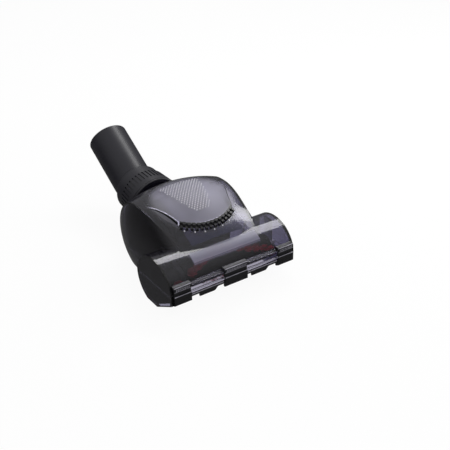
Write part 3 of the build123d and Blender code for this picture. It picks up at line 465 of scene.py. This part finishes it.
# Darker to the front: painted shade, not a colour of the film.
depth = add_node(tree, "ShaderNodeMapRange", SMOOTH, Value=axes.outputs["Y"],
                 From_Min=PAINTED_SHADE_FROM, From_Max=PAINTED_SHADE_TO)
mottle = add_node(tree, "ShaderNodeTexNoise", Vector=place, Scale=1 / LINING_MOTTLE, Detail=2.0)
base = add_node(tree, "ShaderNodeMix", COLOUR_MIX, i0=mottle.outputs[0],
                i6=colour("#74718a"), i7=colour("#7f7c94"))
painted_shade_lining = add_node(tree, "ShaderNodeMix", COLOUR_MIX, i0=depth.outputs["Result"],
                  i6=base.outputs[2], i7=colour("#343a5c"))
tree.links.new(painted_shade_lining.outputs[2], shader.inputs["Base Color"])
shader.inputs["Roughness"].default_value = 0.5

deselect()
bpy.ops.mesh.primitive_grid_add(
    x_subdivisions=int(2 * LINING_HALF / LINING_STEP),
    y_subdivisions=int((LINING_REAR - LINING_FRONT) / LINING_STEP),
    size=1.0, location=(0, (LINING_REAR + LINING_FRONT) / 2, LINING_START))
lining = bpy.context.object
lining.scale = (2 * LINING_HALF, LINING_REAR - LINING_FRONT, 1)
bpy.ops.object.transform_apply(location=True, rotation=False, scale=True)
lay = lining.modifiers.new("under_the_roof", "SHRINKWRAP")
lay.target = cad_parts["upper_housing"]
lay.wrap_method = "PROJECT"
lay.use_project_z = True
lay.use_positive_direction = True
wall = lining.modifiers.new("film", "SOLIDIFY")
wall.thickness = LINING_THICK
wall.offset = -1.0
apply_modifiers(lining)
lining.location.z = -LINING_GAP
settle(lining, "duct_lining", lining_grey, "housing")

# Grip dots: small domes moulded on the visor's top in staggered rows, in a shield that
# narrows to the front. They are pale all over, a little lighter in patches, so they show as pale
# points.
DOT_RADIUS = 0.68 * MM
DOT_PITCH = 3.1 * MM
DOT_ROW = 1.9 * MM
DOT_REAR = 2.0 * MM
DOT_FRONT = -41.0 * MM
DOT_SINK = 0.15 * MM
DOT_MOTTLE = 4.0 * MM
# The shield's outline, as places along Y with the half width at each, in millimetres.
DOT_SHIELD = ((2.0, 21.0), (-17.0, 17.5), (-30.0, 13.5), (-41.0, 7.0))
# Height above the head from which the roof is sought.
RAY_FROM = 200.0 * MM

dot_white, tree, shader = new_material("pale_abs")
place = add_node(tree, "ShaderNodeTexCoord").outputs["Object"]
dot_mottle = add_node(tree, "ShaderNodeTexNoise", Vector=place, Scale=1 / DOT_MOTTLE, Detail=1.0)
pale = add_node(tree, "ShaderNodeMix", COLOUR_MIX, i0=dot_mottle.outputs[0],
                i6=colour("#dddbe4"), i7=colour("#f0eff4"))
tree.links.new(pale.outputs[2], shader.inputs["Base Color"])
shader.inputs["Roughness"].default_value = 0.3


def shield_half(y):
    """Half width of the dotted field at a distance from the crest."""
    for (y_a, half_a), (y_b, half_b) in zip(DOT_SHIELD, DOT_SHIELD[1:]):
        if y >= y_b * MM:
            share = (y_a * MM - y) / ((y_a - y_b) * MM)
            return (half_a + (half_b - half_a) * share) * MM
    return DOT_SHIELD[-1][1] * MM


def copy_mesh(piece, place):
    """Copy of a piece with its own mesh, moved to a place."""
    twin = piece.copy()
    twin.data = piece.data.copy()
    twin.location = place
    bpy.context.collection.objects.link(twin)
    return twin


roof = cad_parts["upper_housing"]
deselect()
bpy.ops.mesh.primitive_uv_sphere_add(segments=8, ring_count=4, radius=DOT_RADIUS, location=(0, 0, 0))
dot = bpy.context.object
dot.data.shade_smooth()
dots = []
for row in range(int((DOT_REAR - DOT_FRONT) / DOT_ROW) + 1):
    y = DOT_REAR - row * DOT_ROW
    half = shield_half(y)
    shift = DOT_PITCH / 2 * (row % 2)
    reach = int((half - shift) / DOT_PITCH) + 1
    for column in range(-reach - 1, reach + 1):
        x = column * DOT_PITCH + shift
        if abs(x) > half:
            continue
        hit, spot, normal, _ = roof.ray_cast(Vector((x, y, RAY_FROM)), Vector((0, 0, -1)))
        if hit:
            dots.append(copy_mesh(dot, spot - normal * DOT_SINK))
bpy.data.objects.remove(dot)
settle(join_pieces(dots), "grip_dots", dot_white, "housing")

# Grille nubs: seven short studs at the foot of the grille, where its moulding was fed.
# They are pale all over: a painted highlight for the flecks of light at the grille's foot.
NUB_COUNT = 7
NUB_SPREAD = 66.0
NUB_RADIUS = 0.7 * MM
NUB_OUT = 0.9 * MM
GRILLE_SPREAD = 75.0

grille_low, grille_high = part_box("vent_grille")
grille_half = (grille_high[0] - grille_low[0]) / 2
grille_radius = grille_half / math.sin(math.radians(GRILLE_SPREAD / 2))
grille_centre = grille_low[1] + grille_radius
deselect()
bpy.ops.mesh.primitive_uv_sphere_add(segments=12, ring_count=6, radius=NUB_RADIUS, location=(0, 0, 0))
nub = bpy.context.object
nub.data.shade_smooth()
nubs = []
for index in range(NUB_COUNT):
    turn = math.radians(NUB_SPREAD * (index / (NUB_COUNT - 1) - 0.5))
    x = (grille_radius + NUB_OUT) * math.sin(turn)
    y = grille_centre - (grille_radius + NUB_OUT) * math.cos(turn)
    hit, spot, normal, _ = roof.ray_cast(Vector((x, y, RAY_FROM)), Vector((0, 0, -1)))
    if hit:
        nubs.append(copy_mesh(nub, spot))
bpy.data.objects.remove(nub)
settle(join_pieces(nubs), "grille_nubs", dot_white, "housing")

# Neck: tube, collar and elbow ring of black ABS from a fine textured tool, so the highlight
# along the tube is broad and soft, with faint handling marks across it. The socket turns in
# the shells and is polished.
NECK_GRAIN = 0.8 * MM
HANDLING_MARK = 25.0 * MM

satin, tree, shader = new_material("satin_black_abs")
place = add_node(tree, "ShaderNodeTexCoord").outputs["Object"]
grain = add_node(tree, "ShaderNodeTexNoise", Vector=place, Scale=1 / NECK_GRAIN, Detail=3.0)
marks = add_node(tree, "ShaderNodeTexNoise", Vector=place, Scale=1 / HANDLING_MARK, Detail=3.0)
soft = add_node(tree, "ShaderNodeMapRange", Value=marks.outputs[0], To_Min=0.3, To_Max=0.42)
shade = add_node(tree, "ShaderNodeMix", COLOUR_MIX, i0=marks.outputs[0],
                 i6=colour("#12111a"), i7=colour("#1a1924"))
bump = add_node(tree, "ShaderNodeBump", Strength=0.2, Distance=0.04 * MM, Height=grain.outputs[0])
tree.links.new(soft.outputs["Result"], shader.inputs["Roughness"])
tree.links.new(shade.outputs[2], shader.inputs["Base Color"])
tree.links.new(bump.outputs[0], shader.inputs["Normal"])
for name in ("neck_tube", "swivel_collar", "elbow_ring"):
    finish_node(name, satin)

SOCKET_SMEAR = 8.0 * MM

glossy_black, tree, shader = new_material("polished_black_abs")
place = add_node(tree, "ShaderNodeTexCoord").outputs["Object"]
smear = add_node(tree, "ShaderNodeTexNoise", Vector=place, Scale=1 / SOCKET_SMEAR, Detail=2.0)
gloss = add_node(tree, "ShaderNodeMapRange", Value=smear.outputs[0], To_Min=0.06, To_Max=0.16)
tree.links.new(gloss.outputs["Result"], shader.inputs["Roughness"])
shader.inputs["Base Color"].default_value = colour("#1f1e29")
finish_node("neck_socket", glossy_black)

# Turbine chamber: side walls, air guide and rotor of dark grey ABS, moulded and left as it
# comes from the tool. Faint flow lines show in its satin.
CHAMBER_FLOW = 6.0 * MM

grey, tree, shader = new_material("dark_grey_abs")
place = add_node(tree, "ShaderNodeTexCoord").outputs["Object"]
flow = add_node(tree, "ShaderNodeTexNoise", Vector=place, Scale=1 / CHAMBER_FLOW, Detail=3.0)
shade = add_node(tree, "ShaderNodeMix", COLOUR_MIX, i0=flow.outputs[0],
                 i6=colour("#2b2a31"), i7=colour("#38363f"))
dull = add_node(tree, "ShaderNodeMapRange", Value=flow.outputs[0], To_Min=0.35, To_Max=0.5)
tree.links.new(shade.outputs[2], shader.inputs["Base Color"])
tree.links.new(dull.outputs["Result"], shader.inputs["Roughness"])
for name in ("chamber_wall_left", "chamber_wall_right", "air_guide", "turbine_rotor"):
    finish_node(name, grey)

# Belt and neck seal: black nitrile rubber, matt, with a dusty bloom in patches.
BLOOM_PATCH = 3.0 * MM

rubber, tree, shader = new_material("black_rubber")
place = add_node(tree, "ShaderNodeTexCoord").outputs["Object"]
bloom = add_node(tree, "ShaderNodeTexNoise", Vector=place, Scale=1 / BLOOM_PATCH, Detail=4.0)
shade = add_node(tree, "ShaderNodeMix", COLOUR_MIX, i0=bloom.outputs[0],
                 i6=colour("#0b0b0c"), i7=colour("#1d1c1d"))
bump = add_node(tree, "ShaderNodeBump", Strength=0.3, Distance=0.05 * MM, Height=bloom.outputs[0])
tree.links.new(shade.outputs[2], shader.inputs["Base Color"])
tree.links.new(bump.outputs[0], shader.inputs["Normal"])
shader.inputs["Roughness"].default_value = 0.75
for name in ("drive_belt", "neck_seal"):
    finish_node(name, rubber)

# Shaft, pins and screws: ground steel, bright, with fine grinding lines round the axis.
# The lines are drawn 0.3 mm apart, coarser than real ones, so that they show.
GRINDING_LINE = 0.3 * MM

steel, tree, shader = new_material("ground_steel")
place = add_node(tree, "ShaderNodeTexCoord").outputs["Object"]
stretched = add_node(tree, "ShaderNodeMapping", Vector=place, Scale=(1.0, 0.05, 0.05))
lines = add_node(tree, "ShaderNodeTexNoise", Vector=stretched.outputs[0],
                 Scale=1 / GRINDING_LINE, Detail=2.0)
shine = add_node(tree, "ShaderNodeMapRange", Value=lines.outputs[0], To_Min=0.15, To_Max=0.38)
shader.inputs["Base Color"].default_value = colour("#b9bbc0")
shader.inputs["Metallic"].default_value = 1.0
tree.links.new(shine.outputs["Result"], shader.inputs["Roughness"])
for name in ("turbine_shaft", "roller_pin_left", "roller_pin_right", "housing_screws"):
    finish_node(name, steel)

# Turbine bushes: oil-filled sintered bronze, pressed from powder; tiny pores darken it.
BRONZE_PORE = 0.4 * MM

bronze, tree, shader = new_material("sintered_bronze")
place = add_node(tree, "ShaderNodeTexCoord").outputs["Object"]
pores = add_node(tree, "ShaderNodeTexVoronoi", Vector=place, Scale=1 / BRONZE_PORE)
shade = add_node(tree, "ShaderNodeMix", COLOUR_MIX, i0=pores.outputs["Distance"],
                 i6=colour("#6e5532"), i7=colour("#b08c58"))
tree.links.new(shade.outputs[2], shader.inputs["Base Color"])
shader.inputs["Metallic"].default_value = 1.0
shader.inputs["Roughness"].default_value = 0.45
for name in ("turbine_bush_left", "turbine_bush_right"):
    finish_node(name, bronze)

# Roller bushes: natural acetal, moulded square so that they can't turn; waxy and off-white.
ACETAL_CLOUD = 5.0 * MM

acetal, tree, shader = new_material("white_acetal")
place = add_node(tree, "ShaderNodeTexCoord").outputs["Object"]
cloud = add_node(tree, "ShaderNodeTexNoise", Vector=place, Scale=1 / ACETAL_CLOUD, Detail=1.0)
shade = add_node(tree, "ShaderNodeMix", COLOUR_MIX, i0=cloud.outputs[0],
                 i6=colour("#d3d2cb"), i7=colour("#e3e2dd"))
tree.links.new(shade.outputs[2], shader.inputs["Base Color"])
shader.inputs["Roughness"].default_value = 0.4
shader.inputs["Subsurface Weight"].default_value = 0.1
shader.inputs["Subsurface Radius"].default_value = (1 * MM, 1 * MM, 1 * MM)
for name in ("roller_bush_left", "roller_bush_right"):
    finish_node(name, acetal)

# Bristle tufts: bundles of stiff red nylon filament, pressed into the roller in two helical rows
# with a gap for the belt. The filaments spread to their tips and are uneven in length.
# They are drawn 0.36 mm thick, about twice the real size, so that they show.
TUFTS_PER_ROW = 14
TUFT_ROWS = 2
TUFT_TWIST = 150.0
TUFT_MARGIN = 4.0 * MM
BELT_PLACE = -42.9 * MM
BELT_ROOM = 5.8 * MM
FILAMENTS = 60
FILAMENT_RADIUS = 0.18 * MM
TUFT_ROOT = 1.4 * MM
TUFT_TIP = 5.0 * MM
ROOT_RADIUS = 9.5 * MM
FILAMENT_TAPER = 0.7
TIP_CLEAR = 0.1 * MM
TIP_SHORT = 0.6 * MM
TIP_UNEVEN = 1.2 * MM

core_low, core_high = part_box("roller_core")
bristle_low, bristle_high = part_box("roller_bristles")
tip_radius = (bristle_high[2] - bristle_low[2]) / 2 - TIP_CLEAR
axle = Vector((0, (bristle_low[1] + bristle_high[1]) / 2, (bristle_low[2] + bristle_high[2]) / 2))
span = core_high[0] - core_low[0] - 2 * TUFT_MARGIN

red, tree, shader = new_material("red_nylon")
place = add_node(tree, "ShaderNodeTexCoord").outputs["Object"]
from_axle = add_node(tree, "ShaderNodeVectorMath", {"operation": "SUBTRACT"},
                     i0=place, i1=axle)
flat = add_node(tree, "ShaderNodeVectorMath", {"operation": "MULTIPLY"},
                i0=from_axle.outputs[0], i1=(0, 1, 1))
out = add_node(tree, "ShaderNodeVectorMath", {"operation": "LENGTH"}, i0=flat.outputs[0])
# Darker at the roots and lighter at the tips: painted shade near the core, where the tufts crowd
# together.
painted_root_shade = add_node(tree, "ShaderNodeMapRange", Value=out.outputs["Value"],
                  From_Min=ROOT_RADIUS, From_Max=tip_radius)
shade = add_node(tree, "ShaderNodeMix", COLOUR_MIX, i0=painted_root_shade.outputs["Result"],
                 i6=colour("#c81a36"), i7=colour("#ff5a74"))
tree.links.new(shade.outputs[2], shader.inputs["Base Color"])
shader.inputs["Roughness"].default_value = 0.35

draw = random.Random(11)
deselect()
bpy.ops.mesh.primitive_cone_add(vertices=5, radius1=FILAMENT_RADIUS, depth=1.0,
                                radius2=FILAMENT_RADIUS * FILAMENT_TAPER, location=(0, 0, 0.5))
filament = bpy.context.object
bpy.ops.object.transform_apply(location=True, rotation=False, scale=False)
strands = []
for row in range(TUFT_ROWS):
    for place_number in range(TUFTS_PER_ROW):
        along = -span / 2 + span * place_number / (TUFTS_PER_ROW - 1)
        if abs(along - BELT_PLACE) < BELT_ROOM:
            continue
        angle = math.radians(180 * row + TUFT_TWIST * abs(along) / span)
        outward = Matrix.Rotation(angle, 4, "X") @ Vector((0, 0, 1))
        sideways = Matrix.Rotation(angle, 4, "X") @ Vector((0, 1, 0))
        for _ in range(FILAMENTS):
            share = math.sqrt(draw.random())
            way = draw.uniform(0, 2 * math.pi)
            offset = Vector((1, 0, 0)) * math.cos(way) + sideways * math.sin(way)
            root = axle + Vector((along, 0, 0)) + outward * ROOT_RADIUS + offset * share * TUFT_ROOT
            tip = axle + Vector((along, 0, 0)) + offset * share * TUFT_TIP
            tip += outward * (tip_radius - TIP_SHORT - draw.uniform(0, TIP_UNEVEN))
            lean = (tip - root).to_track_quat("Z", "Y").to_matrix().to_4x4()
            strand = copy_mesh(filament, (0, 0, 0))
            length = Matrix.Diagonal((1, 1, (tip - root).length, 1))
            strand.matrix_world = Matrix.Translation(root) @ lean @ length
            strands.append(strand)
bpy.data.objects.remove(filament)
bundle = settle(join_pieces(strands), "bristle_tufts", red, "roller")
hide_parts("roller_bristles")
